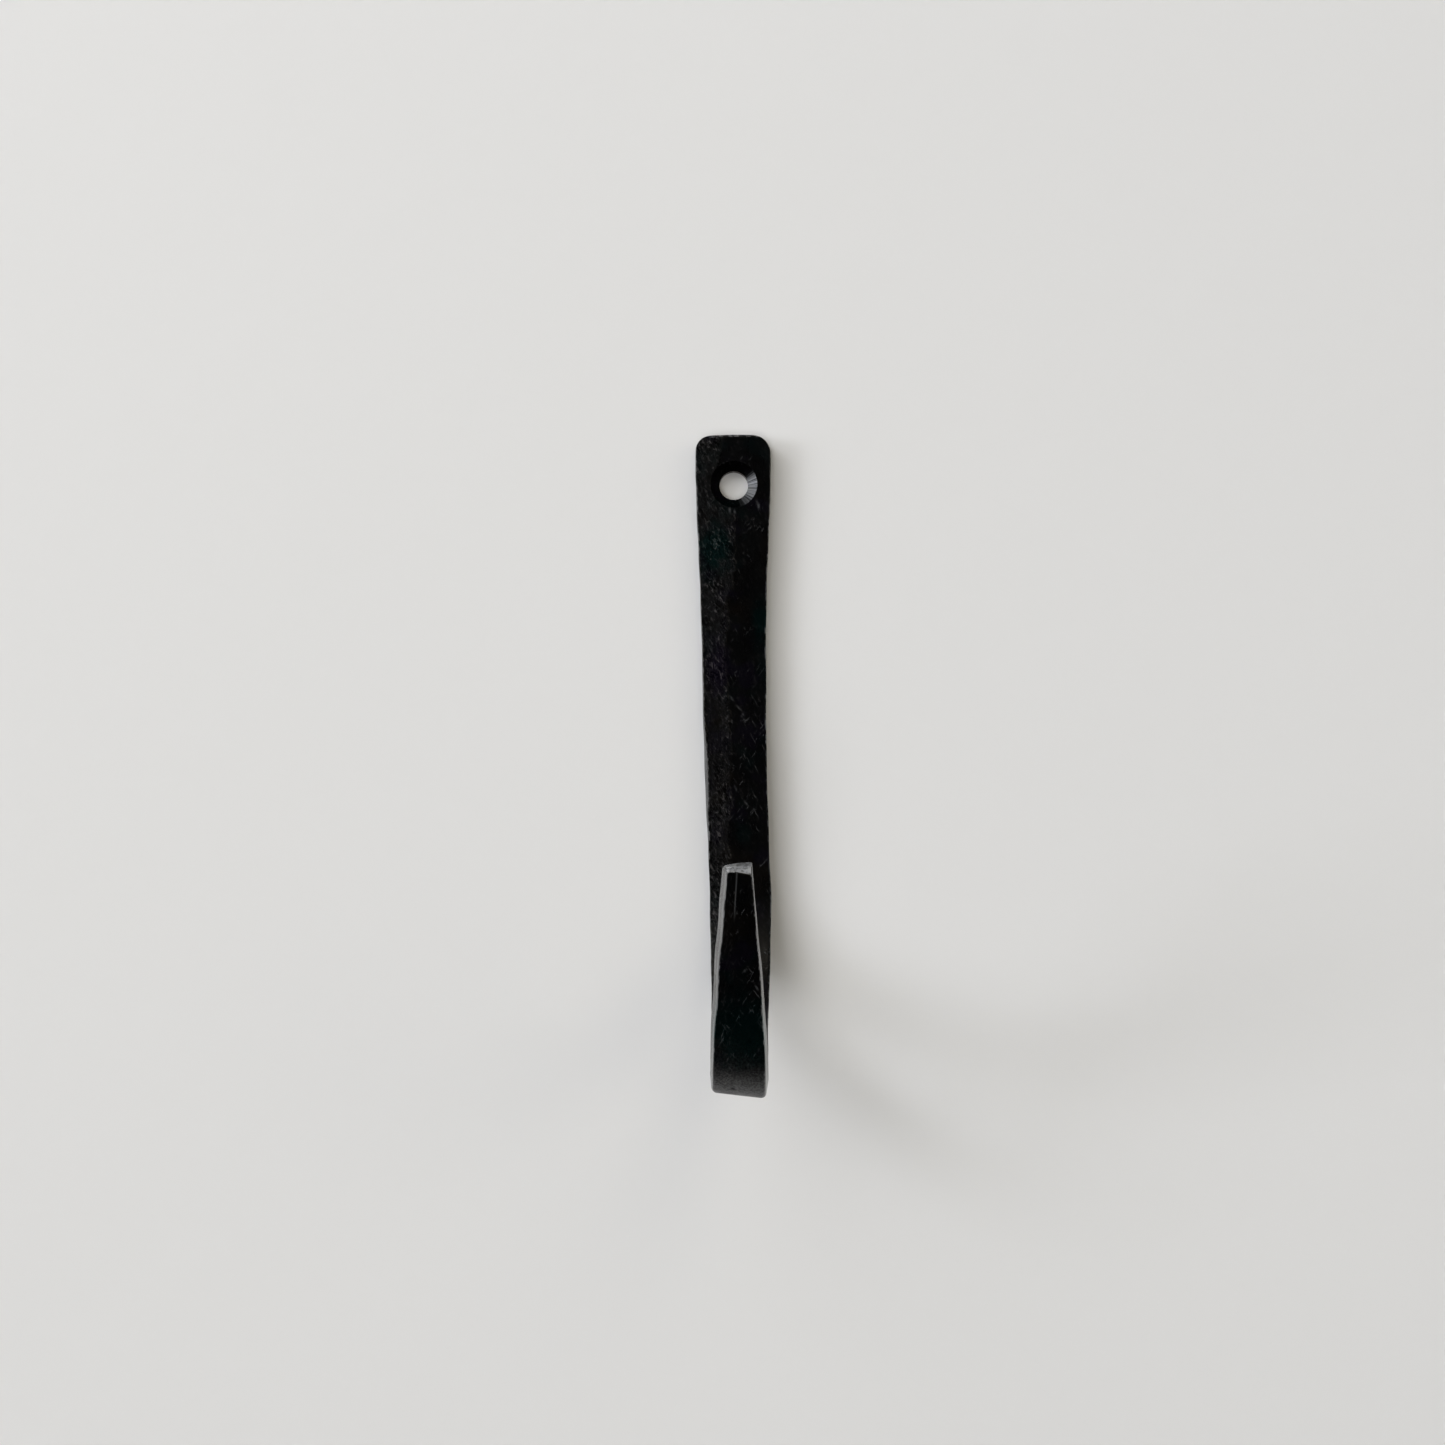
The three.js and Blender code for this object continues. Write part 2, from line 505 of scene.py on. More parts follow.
def forged_bar():
    skin = bar_skin()
    distance, middle = skin.distance, skin.middle
    left, right, inside, outside = face_shares(skin)
    across = skin.x + middle
    beside_ridge = right_of_ridge(distance, across)
    scratches = scratch_depth(distance, across)
    inside_pits = pit_depth(INSIDE_PITS, distance, across)
    outside_pits = pit_depth(OUTSIDE_PITS, distance, across)
    crease = crease_share(distance, across)
    rough = scale_height(across, skin.y, distance)

    x = lean_sides(skin)
    inside_height = INSIDE_DENTS.height(distance, x) + ridge_height(beside_ridge, distance) + rough
    outside_height = OUTSIDE_DENTS.height(distance, x) + rough - outside_pits - CREASE_DEPTH * crease
    y = skin.y + inside * (inside_height - scratches - inside_pits)
    y = y - outside * outside_height * smoothstep(*OUTSIDE_MARKS, distance)
    x = x + right * (RIGHT_DENTS.height(distance, y) + SIDE_ROUGHNESS * rough)
    x = x - left * (LEFT_DENTS.height(distance, y) + SIDE_ROUGHNESS * rough)

    cut, twisted = twist_and_cut(distance, x, y)
    vertices = place_in_space(cut, x, twisted, middle)
    bar = new_mesh_object("forged_bar", vertices.tolist(), skin.faces.tolist())

    # The top bevel counts as edge all over, so it gets the edges' worn metal and their painted highlight.
    on_top_bevel = (distance < TOP_BEVEL) & (y > THICKNESS / 4)
    left_polish = left * smoothstep(STRAP, BAR_LENGTH - ARM, distance)
    right_polish = right * smoothstep(*RIGHT_POLISH, distance) * (1 - smoothstep(*RIGHT_POLISH_END, distance))
    marks = {
        "bar_place": np.stack([across, y, distance], 1),
        "edge": np.where(on_top_bevel, 1.0, skin.edge),
        "beside_ridge": beside_ridge,
        "polished": left_polish + right_polish,
        "pitted": np.clip((inside * inside_pits + outside * outside_pits) / FULL_PIT, 0, 1),
        "scratched": np.clip(inside * scratches / FULL_SCRATCH + outside * crease, 0, 1),
    }
    for name, values in marks.items():
        store(bar, name, "POINT", values)
    return bar


# --- The hole ------------------------------------------------------------------------------------------


def cutter_levels():
    """Rings of the cutter from the back to the front: place in Y, radius and how rippled they are."""
    sink_depth = (SINK_DIAMETER - HOLE_DIAMETER) / 2
    levels = [(CUTTER_OVERRUN, HOLE_DIAMETER / 2, 0.0)]
    for ring in range(CONE_RINGS + 1):
        share = ring / CONE_RINGS
        run = share * (sink_depth + CUTTER_OVERRUN)
        levels.append((sink_depth - THICKNESS - run, HOLE_DIAMETER / 2 + run, min(1.0, share * RIPPLE_START)))
    return levels


def hole_cutter():
    """The drill and countersink, with the ripples that a chattering countersink leaves on its cone."""
    rng = random.Random(5)
    waves = [
        (rng.randint(*RIPPLE_COUNTS), rng.uniform(0, math.tau), rng.uniform(0.2, 1))
        for _ in range(RIPPLE_WAVES)
    ]
    levels = cutter_levels()
    vertices, faces = [], []
    for level_y, radius, ripple in levels:
        for side in range(CUTTER_SIDES):
            angle = math.tau * side / CUTTER_SIDES
            wave = sum(size * math.sin(count * angle + phase) for count, phase, size in waves)
            reach = radius + RIPPLE_SIZE * ripple * wave
            vertices.append(Vector((reach * math.cos(angle), level_y, reach * math.sin(angle))) * MM)
    for start in range(0, (len(levels) - 1) * CUTTER_SIDES, CUTTER_SIDES):
        for side in range(CUTTER_SIDES):
            a, b = start + side, start + (side + 1) % CUTTER_SIDES
            faces.append((a, b, b + CUTTER_SIDES, a + CUTTER_SIDES))
    faces.append(tuple(range(CUTTER_SIDES))[::-1])
    faces.append(tuple(range(len(vertices) - CUTTER_SIDES, len(vertices))))
    cutter = new_mesh_object("cutter", vertices, faces)
    bm = bmesh.new()
    bm.from_mesh(cutter.data)
    bmesh.ops.recalc_face_normals(bm, faces=bm.faces)
    bm.to_mesh(cutter.data)
    bm.free()
    return cutter


def cut_hole(bar):
    cutter = hole_cutter()
    boolean = bar.modifiers.new("hole", "BOOLEAN")
    boolean.operation = "DIFFERENCE"
    boolean.solver = "EXACT"
    boolean.object = cutter
    depsgraph = bpy.context.evaluated_depsgraph_get()
    cut = bpy.data.meshes.new_from_object(bar.evaluated_get(depsgraph))
    bar.modifiers.clear()
    old = bar.data
    bar.data = cut
    bpy.data.meshes.remove(old)
    bpy.data.objects.remove(cutter)
    bar.data.shade_smooth()
    bar.data.set_sharp_from_angle(angle=math.radians(SMOOTH_DEGREES))


def vectors(elements, name):
    """A vector property of a mesh's vertices, faces or attribute, as three arrays."""
    values = np.empty(len(elements) * 3)
    elements.foreach_get(name, values)
    return values.reshape(-1, 3).T


def complete_hole_places(bar):
    """The cutter's faces know nothing of the straight bar, so their vertices' places are worked out here."""
    x, y, z = vectors(bar.data.vertices, "co") / MM
    place = vectors(bar.data.attributes["bar_place"].data, "vector").T
    by_hole = (np.hypot(x, z) < SINK_DIAMETER / 2 + HOLE_REACH) & (y > -THICKNESS - HOLE_REACH)
    place[by_hole] = np.stack([x, -y - THICKNESS / 2, TOP_ABOVE_HOLE - z], 1)[by_hole]
    store(bar, "bar_place", "POINT", place)


def mark_cut_faces(bar):
    """Marks the faces of the countersink, the bore and the tip's end."""
    x, y, z = vectors(bar.data.polygons, "center") / MM
    facing_x, facing_y, facing_z = vectors(bar.data.polygons, "normal")
    radius = np.hypot(x, z)
    inwards = -(x * facing_x + z * facing_z) / np.maximum(radius, 0.1)
    by_hole = (radius < SINK_DIAMETER / 2 + RIM_REACH) & (y > -THICKNESS - HOLE_REACH)
    on_cone = by_hole & (inwards > CONE_FACING) & (inwards < BORE_FACING)
    store(bar, "sink", "FACE", on_cone.astype(float))
    store(bar, "bore", "FACE", (by_hole & (inwards >= BORE_FACING)).astype(float))

    forward, down, heading = (float(value[0]) for value in centreline(np.array([BAR_LENGTH])))
    near_tip = np.hypot(y + forward, z + down) < THICKNESS
    along = -facing_y * math.sin(heading) - facing_z * math.cos(heading)
    store(bar, "tip_end", "FACE", (near_tip & (along > TIP_FACING)).astype(float))


bar = forged_bar()
cut_hole(bar)
complete_hole_places(bar)
mark_cut_faces(bar)
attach(bar, "root")
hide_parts("forged_hook")


# --- Materials -----------------------------------------------------------------------------------------

# Colours of the finish, of the pale tops of its scale, and of the steel under it. The pale colour is partly
# painted light on the face left of the ridge, and it also paints the highlight along the worn edges.
BLACK, BROWN = (0.0006, 0.0006, 0.0007), (0.0018, 0.0012, 0.0008)
TEAL, VIOLET = (0.0003, 0.0015, 0.0016), (0.0012, 0.0008, 0.0022)
CREST_AND_HIGHLIGHT = (0.052, 0.048, 0.048)
COOL_STEEL, PALE_STEEL, DRILLED_STEEL = (0.42, 0.44, 0.49), (0.60, 0.60, 0.58), (0.62, 0.50, 0.38)

# Faint heat tints: the colour of the finish and of its shine.
TEAL_TINT = ((0.0002, 0.0016, 0.0016), (0.25, 0.85, 0.82))
VIOLET_TINT = ((0.0013, 0.0009, 0.0027), (0.9, 0.75, 1.0))
# Where they are: middle of the patch as across, through and distance, and its reach each way.
TINT_SPOTS = (
    ((-3.6, 1.6, 20.5), (3.6, 2.0, 5.5), TEAL_TINT),
    ((-3.0, 1.6, 42.0), (2.6, 2.0, 6.0), VIOLET_TINT),
    ((4.8, 1.6, 33.5), (1.6, 2.0, 4.5), TEAL_TINT),
    ((0.8, -1.6, 146.0), (8.0, 3.0, 7.5), TEAL_TINT),
)

# Roughness of each kind of surface, and how much rougher the bottom of the bend is.
SMOOTHEST, SMOOTH, GRITTY, POLISHED, BARE = 0.25, 0.32, 0.42, 0.2, 0.3
BOTTOM_ROUGHER = 0.16
# Gloss of the faces, more of it at the bottom and on the inside of the bend, and gloss of the sides.
FACE_GLOSS, BOTTOM_GLOSS, BEND_GLOSS, PIT_GLOSS, HOLE_GLOSS = 0.32, 0.12, 0.24, 0.05, 0.03
SIDE_GLOSS, TIP_GLOSS = 0.7, 0.3
# How much bare steel shows through.
EDGE_WEAR, SCRATCH_WEAR, CROSSING_WEAR, BORE_WEAR, TIP_SIDE_WEAR = 0.3, 0.11, 0.5, 0.1, 0.05

# Stretches over which these come in and go again, as distances from the top end.
BOTTOM_START, BOTTOM_END = (108, 122), (150, 136)
BEND_START, BEND_END = (60, 74), (118, 108)
TIP_WEAR_START, TIP_GLOSS_START = (150, 172), (146, 170)

# Slants from straight along the bar, in degrees.
GRAIN_SLANT, CROSSING_SLANTS = -24, (38, -28)
STREAKS_ROUND_CONE = 5.0
BUMP_DEPTH = 0.17
WRINKLE_BUMP, FINE_BUMP, CROSSING_BUMP, STREAK_BUMP = 0.12, 0.03, 0.12, 0.3


class Nodes:
    """Adds shader nodes to one tree in short lines."""

    def __init__(self, tree):
        self.tree = tree

    def add(self, kind, inputs=None, **settings):
        node = self.tree.nodes.new("ShaderNode" + kind)
        for name, value in settings.items():
            setattr(node, name, value)
        for name, value in (inputs or {}).items():
            self.feed(node.inputs[name], value)
        return node

    def feed(self, socket, value):
        """Links the value to the socket if it comes from a node, and sets it there if it is a constant."""
        if isinstance(value, bpy.types.NodeSocket):
            self.tree.links.new(value, socket)
        elif socket.type == "RGBA":
            socket.default_value = (*value, 1)
        else:
            socket.default_value = value

    def attribute(self, name, output="Fac"):
        return self.add("Attribute", attribute_name=name).outputs[output]

    def math(self, operation, first, second=0.0, clamp=False):
        return self.add("Math", {0: first, 1: second}, operation=operation, use_clamp=clamp).outputs[0]

    def chain(self, operation, first, *others):
        for other in others:
            first = self.math(operation, first, other)
        return first

    def product(self, *values):
        return self.chain("MULTIPLY", *values)

    def total(self, *values):
        return self.chain("ADD", *values)

    def largest(self, *values):
        return self.chain("MAXIMUM", *values)

    def less(self, first, second):
        return self.math("SUBTRACT", first, second)

    def stretched(self, vector, factors):
        return self.add("VectorMath", {0: vector, 1: factors}, operation="MULTIPLY").outputs[0]

    def noise(self, vector, scale, detail=2.0, roughness=0.5, distortion=0.0):
        return self.add("TexNoise", {
            "Vector": vector,
            "Scale": scale,
            "Detail": detail,
            "Roughness": roughness,
            "Distortion": distortion,
        }).outputs["Fac"]

    def between(self, value, low, high, to_low=0.0, to_high=1.0):
        return self.add("MapRange", {
            "Value": value,
            "From Min": low,
            "From Max": high,
            "To Min": to_low,
            "To Max": to_high,
        }, interpolation_type="SMOOTHSTEP").outputs[0]

    def colours(self, factor, first, second):
        return self.add("Mix", {0: factor, 6: first, 7: second}, data_type="RGBA").outputs[2]

    def values(self, factor, first, second):
        return self.add("Mix", {0: factor, 2: first, 3: second}).outputs[0]


def new_material(name):
    material = bpy.data.materials.new(name)
    material.use_nodes = True
    return material, Nodes(material.node_tree), material.node_tree.nodes["Principled BSDF"]


class BlackSteel:
    """A black finish with patches of scale, worn through to the steel at the edges and on the cut faces, and
    with a painted highlight along the worn edges.

    Places on it are across the bar, through it and along it, from the stored attribute bar_place.
    """

    def __init__(self):
        self.material, self.nodes, self.shader = new_material("black_steel")
        nodes = self.nodes
        self.place = nodes.attribute("bar_place", "Vector")
        self.across, self.through, self.distance = nodes.add("SeparateXYZ", {0: self.place}).outputs
        self.sink = nodes.attribute("sink")
        self.bore = nodes.attribute("bore")
        self.off_sink = nodes.less(1.0, self.sink)
        self.polished = nodes.attribute("polished")
        self.bottom = nodes.product(self.along(*BOTTOM_START), self.along(*BOTTOM_END))
        self.add_scale()
        self.add_crossing_scratches()
        self.add_cone_streaks()
        self.add_wear()

    def along(self, start, end, at_start=0.0, at_end=1.0):
        """A value that changes smoothly between two distances from the top end."""
        return self.nodes.between(self.distance, start, end, at_start, at_end)

    def slanted(self, degrees, stretch):
        turn = {"Vector": self.place, "Rotation": (0, math.radians(degrees), 0)}
        return self.nodes.stretched(self.nodes.add("Mapping", turn).outputs[0], stretch)

    def add_scale(self):
        """Scale lies thickest left of the ridge, in patches. The border along the ridge is frayed. Its pale
        grain tops are partly the scale's own colour and partly painted light: they make the face left of the
        ridge, which faces the light, lighter.
        """
        nodes, place = self.nodes, self.place
        self.patches = nodes.noise(nodes.stretched(place, (1, 1, 0.6)), 0.28, 3, 0.6)
        frayed = nodes.product(nodes.less(nodes.noise(place, 0.7, 3, 0.6), 0.5), 2.4)
        beside_ridge = nodes.total(nodes.attribute("beside_ridge"), frayed)
        self.left_of_ridge = nodes.between(beside_ridge, -0.3, 0.35, 1.0, 0.12)
        inside_face = nodes.between(self.through, -0.5, 0.5, 0.25, 1.0)
        thick = nodes.between(self.patches, 0.32, 0.6, 0.4, 1.0)
        self.scaly = nodes.product(thick, self.left_of_ridge, inside_face, self.off_sink)
        self.grain = nodes.noise(self.slanted(GRAIN_SLANT, (1, 1, 0.45)), 2.1, 4, 0.7, 0.8)
        # Pale grain tops: partly the scale's own colour, partly painted light on the face left of the ridge.
        self.crests_and_lit_facet = nodes.product(nodes.between(self.grain, 0.57, 0.67), self.scaly)

    def add_crossing_scratches(self):
        """Fine scratches cross each other in a few regions."""
        nodes = self.nodes
        region = nodes.between(nodes.noise(self.place, 0.16, 2), 0.42, 0.6)
        scratches = [
            nodes.between(nodes.noise(self.slanted(slant, (3.2, 1, 0.5)), 1.0, 3, 0.6, 0.3), 0.63, 0.72)
            for slant in CROSSING_SLANTS
        ]
        self.crossing = nodes.product(nodes.largest(*scratches), region)

    def add_cone_streaks(self):
        """Streaks down the countersink's cone. The angle is 0 at its right and grows downwards."""
        nodes = self.nodes
        below = nodes.less(self.distance, TOP_ABOVE_HOLE)
        self.cone_angle = nodes.math("ARCTAN2", below, self.across)
        round_cone = nodes.product(self.cone_angle, STREAKS_ROUND_CONE)
        self.streaks = nodes.noise(nodes.add("CombineXYZ", {0: round_cone, 1: 0.3}).outputs[0], 2.4, 4, 0.75)

    def screwed_cone(self):
        """A screw head has rubbed the right of the countersink."""
        nodes = self.nodes
        rubbed = nodes.less(
            nodes.between(self.cone_angle, -0.7, 0.0),
            nodes.between(self.cone_angle, -0.15, 1.35),
        )
        streaky = nodes.between(self.streaks, 0.4, 0.56, 0.12, 0.8)
        return nodes.product(nodes.math("MULTIPLY", rubbed, streaky, clamp=True), self.sink)

    def ground_tip(self):
        """The tip's end is ground bright, less so along its inner edge."""
        nodes = self.nodes
        blotches = nodes.between(nodes.noise(self.place, 1.1, 3, 0.6), 0.38, 0.55, 0.25, 0.72)
        inner_strip = nodes.between(self.through, 0.25, 0.55, 1.0, 0.55)
        return nodes.product(nodes.attribute("tip_end"), blotches, inner_strip)

    def add_wear(self):
        """Bare metal: the cut faces, and the edges and scratches where the finish has rubbed off."""
        nodes = self.nodes
        rubbed = nodes.between(nodes.noise(self.place, 0.8, 4, 0.65), 0.47, 0.64)
        # This mask gives bare metal where the finish has rubbed off and, in finish(), a painted highlight
        # along the edges.
        self.worn_edge_and_highlight = nodes.product(nodes.attribute("edge"), self.off_sink, rubbed)
        scratched = nodes.largest(nodes.attribute("scratched"), nodes.product(self.crossing, CROSSING_WEAR))
        bare = nodes.largest(
            nodes.product(self.worn_edge_and_highlight, EDGE_WEAR),
            nodes.product(scratched, SCRATCH_WEAR),
            nodes.product(self.bore, BORE_WEAR),
            self.screwed_cone(),
            self.ground_tip(),
        )
        tip_side = nodes.product(self.polished, self.along(*TIP_WEAR_START, 0.0, TIP_SIDE_WEAR))
        self.bare = nodes.math("ADD", bare, tip_side, clamp=True)

    def finish(self):
        """The finish's colour and the tint of its shine: black with wide hues, a few tinted spots, pale grain
        tops and a painted highlight along the worn edges.
        """
        nodes, place = self.nodes, self.place
        hue = nodes.noise(place, 0.11, 3, 0.55)
        finish = nodes.colours(nodes.between(hue, 0.5, 0.68), BLACK, BROWN)
        finish = nodes.colours(nodes.between(hue, 0.46, 0.32), finish, TEAL)
        finish = nodes.colours(nodes.between(nodes.noise(place, 0.2, 2), 0.5, 0.66), finish, VIOLET)
        sheen = (1.0, 1.0, 1.0)
        ragged = nodes.product(nodes.noise(place, 0.5, 3, 0.6), 0.9)
        for spot, reach, (finish_tint, sheen_tint) in TINT_SPOTS:
            offset = nodes.add("VectorMath", {0: place, 1: spot}, operation="SUBTRACT").outputs[0]
            scaled = nodes.stretched(offset, tuple(1 / size for size in reach))
            gap = nodes.add("VectorMath", {0: scaled}, operation="LENGTH").outputs["Value"]
            share = nodes.between(nodes.total(gap, ragged), 1.6, 0.8)
            finish = nodes.colours(share, finish, finish_tint)
            sheen = nodes.colours(share, sheen, sheen_tint)
        # Painted highlight: the worn edges get half of the pale colour, laid over the scale's grain tops.
        crests_and_edge_highlight = nodes.largest(self.crests_and_lit_facet, nodes.product(self.worn_edge_and_highlight, 0.5))
        return nodes.colours(crests_and_edge_highlight, finish, CREST_AND_HIGHLIGHT), sheen

    def steel(self):
        steel = self.nodes.colours(self.nodes.noise(self.place, 0.9, 2), COOL_STEEL, PALE_STEEL)
        return self.nodes.colours(self.bore, steel, DRILLED_STEEL)

    def roughness(self):
        nodes = self.nodes
        smooth = nodes.between(self.patches, 0.3, 0.7, SMOOTHEST, SMOOTH)
        smooth = nodes.total(smooth, nodes.product(self.bottom, BOTTOM_ROUGHER))
        faces = nodes.values(nodes.product(self.scaly, 0.7), smooth, GRITTY)
        return nodes.values(self.bare, nodes.values(self.polished, faces, POLISHED), BARE)

    def gloss(self):
        """Gloss breaks up into specks on scale and at the bottom of the bend, and is nearly gone in pits."""
        nodes = self.nodes
        inside_bend = nodes.product(self.along(*BEND_START), self.along(*BEND_END), self.left_of_ridge)
        faces = nodes.total(
            FACE_GLOSS,
            nodes.product(self.bottom, BOTTOM_GLOSS),
            nodes.product(inside_bend, BEND_GLOSS),
        )
        bottom_specks = nodes.between(nodes.noise(self.place, 2.4, 3, 0.7), 0.4, 0.6, 0.5, 1.5)
        faces = nodes.product(faces, nodes.values(self.bottom, 1.0, bottom_specks))
        faces = nodes.values(nodes.attribute("pitted"), faces, PIT_GLOSS)
        faces = nodes.values(nodes.largest(self.sink, self.bore), faces, HOLE_GLOSS)
        scale_specks = nodes.values(self.scaly, 1.0, nodes.between(self.grain, 0.44, 0.60, 0.05, 1.0))
        sides = nodes.total(SIDE_GLOSS, nodes.product(self.along(*TIP_GLOSS_START), TIP_GLOSS))
        return nodes.values(self.polished, nodes.product(scale_specks, faces), sides)

    def bump(self):
        nodes = self.nodes
        valleys = nodes.math("ABSOLUTE", nodes.less(self.grain, 0.5))
        wrinkles = nodes.between(valleys, 0.0, 0.09, 1.0, 0.0)
        fine = nodes.noise(self.place, 5.0, 3, 0.65)
        rough = nodes.total(self.grain, nodes.product(wrinkles, WRINKLE_BUMP))
        height = nodes.total(nodes.product(rough, self.scaly), nodes.product(fine, FINE_BUMP))
        height = nodes.less(height, nodes.product(self.crossing, CROSSING_BUMP))
        height = nodes.total(height, nodes.product(self.streaks, self.sink, STREAK_BUMP))
        inputs = {"Height": height, "Strength": 1.0, "Distance": BUMP_DEPTH * MM}
        return nodes.add("Bump", inputs).outputs[0]

    def made(self):
        finish, sheen = self.finish()
        inputs = {
            "Base Color": self.nodes.colours(self.bare, finish, self.steel()),
            "Metallic": self.bare,
            "Roughness": self.roughness(),
            "IOR": 1.5,
            "Specular IOR Level": self.gloss(),
            "Specular Tint": sheen,
            "Normal": self.bump(),
        }
        for name, value in inputs.items():
            self.nodes.feed(self.shader.inputs[name], value)
        return self.material


bar.data.materials.clear()
bar.data.materials.append(BlackSteel().made())


# --- Wall, lights and camera ---------------------------------------------------------------------------

WALL_HALF = 2.0
WALL_GAP = 0.06
WALL_COLOUR = (0.79, 0.786, 0.777)
# The wall is open behind the strap, so that the back can be looked at from behind. The opening is hidden
# from the front: it stays inside the strap's outline by this much, and narrows below it as the bar leaves
# the wall. Distances from the top end and insets.
OPENING = (
    (0.7, 2.0),
    (1.6, 1.2),
    (3.2, 0.5),
    (8, 0.45),
    (26, 0.45),
    (60, 0.75),
    (STRAP, 0.7),
    (87.5, 2.2),
)
# A disc stands in for the wall behind the hole.
DISC_SIDES, DISC_MARGIN = 48, 0.25


def opening_sides():
    """The left and right sides of the wall's opening, each from the top down."""
    distance, inset = np.array(OPENING, float).T
    width, middle = through_rows(OUTLINE, distance)
    left = np.stack([middle - width / 2 + inset, TOP_ABOVE_HOLE - distance], 1)
    right = np.stack([middle + width / 2 - inset, TOP_ABOVE_HOLE - distance], 1)
    return left.tolist(), right.tolist()


def wall_polygons():
    size = WALL_HALF / MM
    top_left, top_right, low_right, low_left = (-size, size), (size, size), (size, -size), (-size, -size)
    left, right = opening_sides()
    disc_radius = HOLE_DIAMETER / 2 + DISC_MARGIN
    turns = [math.tau * side / DISC_SIDES for side in range(DISC_SIDES)]
    return (
        [top_left, left[0], right[0], top_right],
        [top_right, *right, low_right],
        [low_right, right[-1], left[-1], low_left],
        [low_left, *left[::-1], top_left],
        [(disc_radius * math.cos(turn), disc_radius * math.sin(turn)) for turn in turns],
    )


def pale_wall():
    """Matt and plain from the front, and nothing at all from behind."""
    material, nodes, shader = new_material("pale_wall")
    nodes.feed(shader.inputs["Base Color"], WALL_COLOUR)
    nodes.feed(shader.inputs["Roughness"], 0.9)
    nodes.feed(shader.inputs["Specular IOR Level"], 0.1)
    behind = nodes.add("NewGeometry").outputs["Backfacing"]
    clear = nodes.add("BsdfTransparent").outputs[0]
    surface = nodes.add("MixShader", {0: behind, 1: shader.outputs[0], 2: clear}).outputs[0]
    nodes.feed(material.node_tree.nodes["Material Output"].inputs[0], surface)
    return material


def wall():
    vertices, faces = [], []
    for polygon in wall_polygons():
        faces.append(range(len(vertices), len(vertices) + len(polygon)))
        vertices += [(x * MM, WALL_GAP * MM, z * MM) for x, z in polygon]
    mesh = bpy.data.meshes.new("wall")
    mesh.from_pydata(vertices, [], faces)
    mesh.materials.append(pale_wall())
    piece = bpy.data.objects.new("wall", mesh)
    bpy.context.scene.collection.objects.link(piece)


# Windows and lamps seen from the hook: direction towards each, how strong, how wide in degrees, colour.
COOL, NEUTRAL, WARM = (0.97, 1.0, 1.07), (1.0, 1.0, 1.0), (1.1, 1.02, 0.84)
FAR_LIGHTS = {
    "ahead_left": ((-0.2, -1, -0.4), 0.43, 22, NEUTRAL),
    "ahead": ((0, -1, -0.4), 0.27, 24, NEUTRAL),
    "window_near": ((-0.7, -1, 0.6), 0.20, 18, NEUTRAL),
    "window_middle": ((-1.1, -1, 0.6), 0.24, 16, COOL),
    "window_far": ((-1.4, -1, 0.85), 0.34, 14, COOL),
    "low_left": ((-1.7, -1, 0.25), 0.41, 16, COOL),
    "low_far_left": ((-2.2, -1, 0.1), 0.63, 14, COOL),
    "lowest_left": ((-3.0, -1, -0.1), 0.28, 12, COOL),
    "right_high": ((0.3, -1, 0.35), 0.15, 22, WARM),
    "top_right": ((0.5, -1, 1.1), 0.23, 26, WARM),
    "right": ((1.2, -1, 0.3), 0.14, 26, WARM),
    "far_right": ((2.1, -1, 0.6), 0.23, 26, WARM),
}
# The faces don't mirror these: the camera stands in front of them.
FILL_LIGHTS = ("ahead_left", "ahead", "right_high")
NEAR_WINDOW, NEAR_WINDOW_POWER, NEAR_WINDOW_SIZE = (-1, -1, 1), 3.8, 0.9
BAR_MIDDLE = (0, 0, -0.045)

# The studio's brightness: where the camera sees it, everywhere, and what each side adds.
SEEN_STUDIO, DIM_STUDIO = 0.72, 0.008
BEHIND_STUDIO, RIGHT_STUDIO, LEFT_STUDIO, ABOVE_STUDIO = 0.55, 0.08, 0.06, 0.08
STUDIO_COLOUR = (1.0, 0.99, 0.975)

CAMERA_PLACE = (-0.00204, -0.2644, -0.04297)
CAMERA_LENS, CAMERA_SENSOR = 36.1, 36


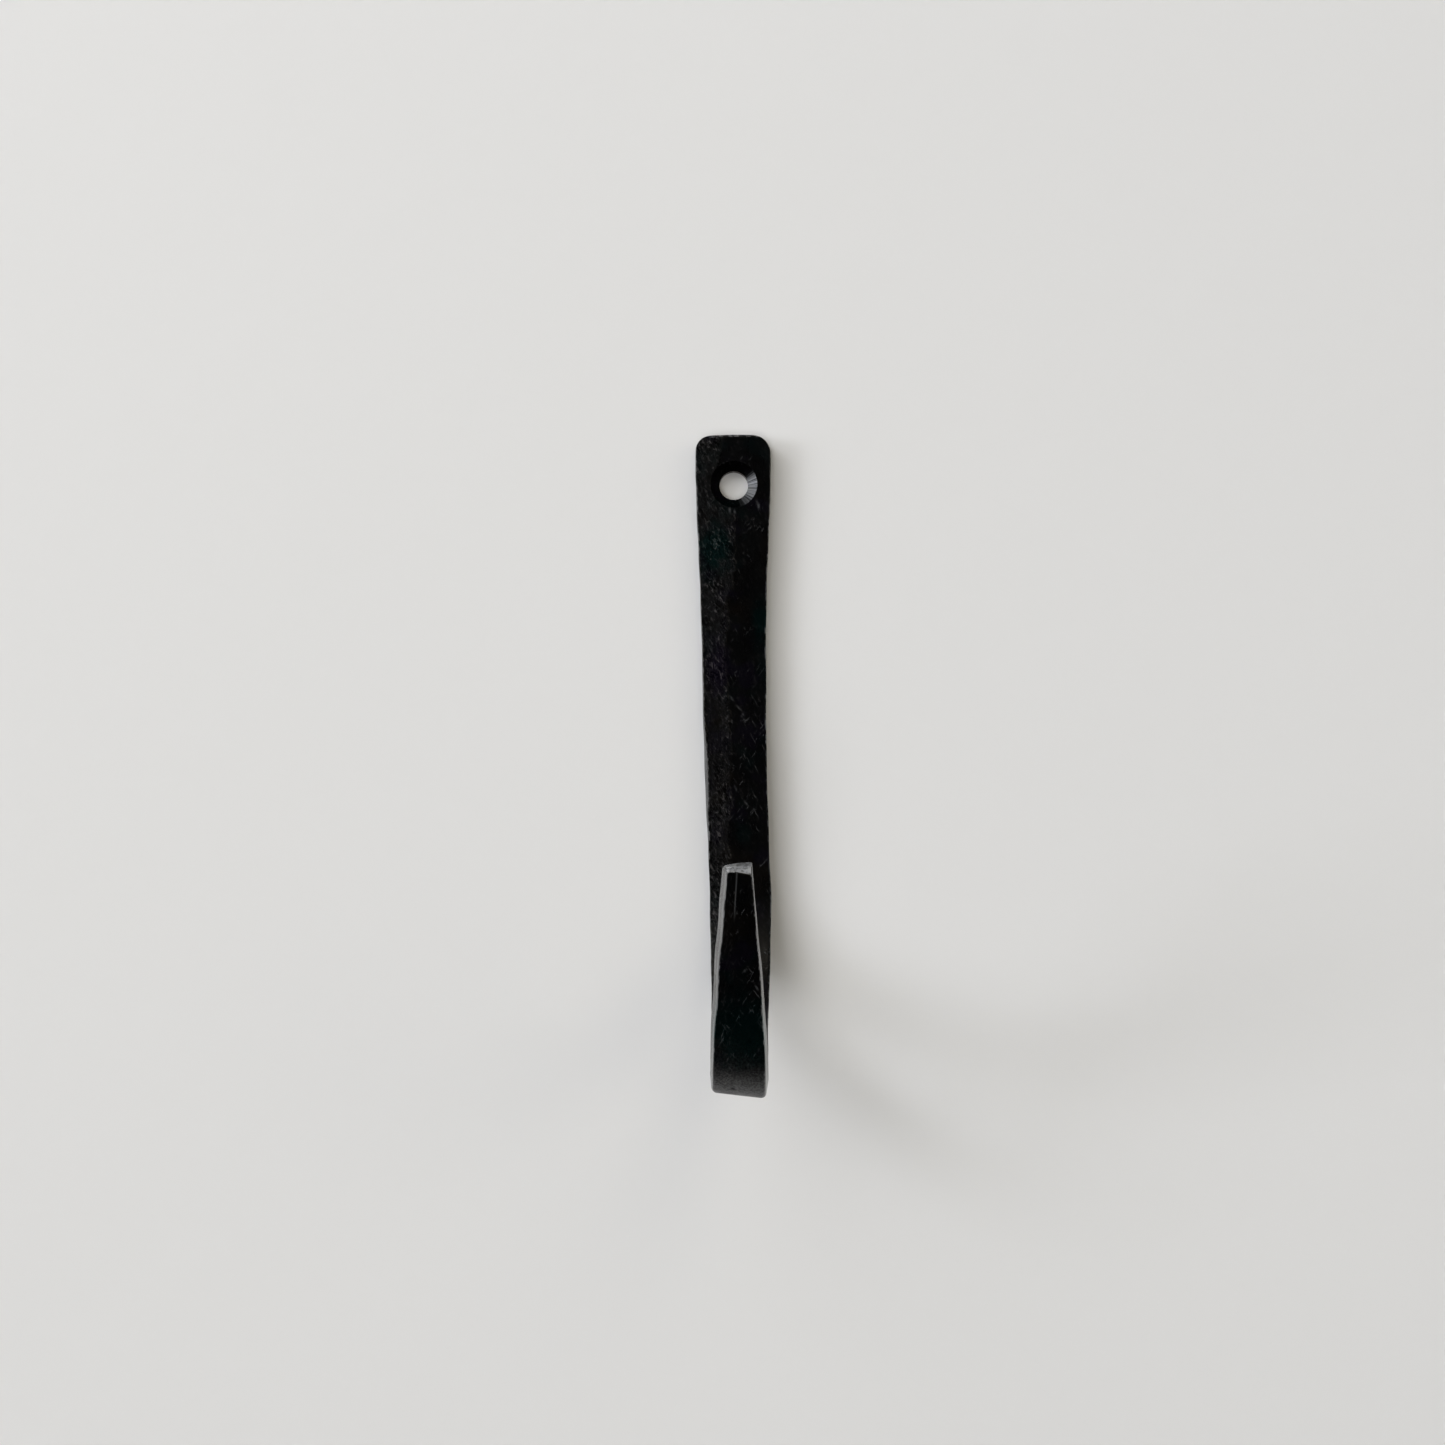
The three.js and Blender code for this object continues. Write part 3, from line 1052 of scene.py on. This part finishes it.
def new_light(kind, name, direction, power, colour):
    """A light that shines back along the direction towards it, which is also returned at length 1."""
    data = bpy.data.lights.new(name, kind)
    data.energy = power
    data.color = colour
    light = bpy.data.objects.new(name, data)
    bpy.context.scene.collection.objects.link(light)
    towards = Vector(direction).normalized()
    light.rotation_euler = towards.to_track_quat("Z", "Y").to_euler()
    return light, towards


def far_lights():
    for name, (direction, power, width, colour) in FAR_LIGHTS.items():
        light, _ = new_light("SUN", name, direction, power, colour)
        light.data.angle = math.radians(width)
        light.visible_glossy = name not in FILL_LIGHTS


def near_light():
    light, towards = new_light("AREA", "near_window", NEAR_WINDOW, NEAR_WINDOW_POWER, NEUTRAL)
    light.data.size = NEAR_WINDOW_SIZE
    light.location = Vector(BAR_MIDDLE) + towards
    light.visible_camera = False
    light.visible_glossy = False


def world():
    """Dim around the camera and below it, lighter to the sides, above and behind; plain pale to look at."""
    studio = bpy.data.worlds.new("studio")
    bpy.context.scene.world = studio
    studio.use_nodes = True
    nodes = Nodes(studio.node_tree)
    shader = studio.node_tree.nodes["Background"]
    x, y, z = nodes.add("SeparateXYZ", {0: nodes.add("TexCoord").outputs["Generated"]}).outputs
    lighting = nodes.total(
        nodes.between(y, 0.05, 0.6, 0.0, BEHIND_STUDIO),
        nodes.between(x, 0.45, 1.0, 0.0, RIGHT_STUDIO),
        nodes.between(x, -0.3, -0.95, 0.0, LEFT_STUDIO),
        nodes.between(z, 0.3, 0.95, 0.0, ABOVE_STUDIO),
        DIM_STUDIO,
    )
    seen = nodes.add("LightPath").outputs["Is Camera Ray"]
    nodes.feed(shader.inputs["Strength"], nodes.values(seen, lighting, SEEN_STUDIO))
    nodes.feed(shader.inputs["Color"], STUDIO_COLOUR)


def camera():
    """Square to the wall, level with the middle of the hook."""
    data = bpy.data.cameras.new("camera")
    data.sensor_width = CAMERA_SENSOR
    data.lens = CAMERA_LENS
    piece = bpy.data.objects.new("camera", data)
    bpy.context.scene.collection.objects.link(piece)
    piece.location = CAMERA_PLACE
    piece.rotation_euler = (math.pi / 2, 0, 0)
    bpy.context.scene.camera = piece


wall()
far_lights()
near_light()
world()
camera()
bpy.context.scene.view_settings.view_transform = "Standard"
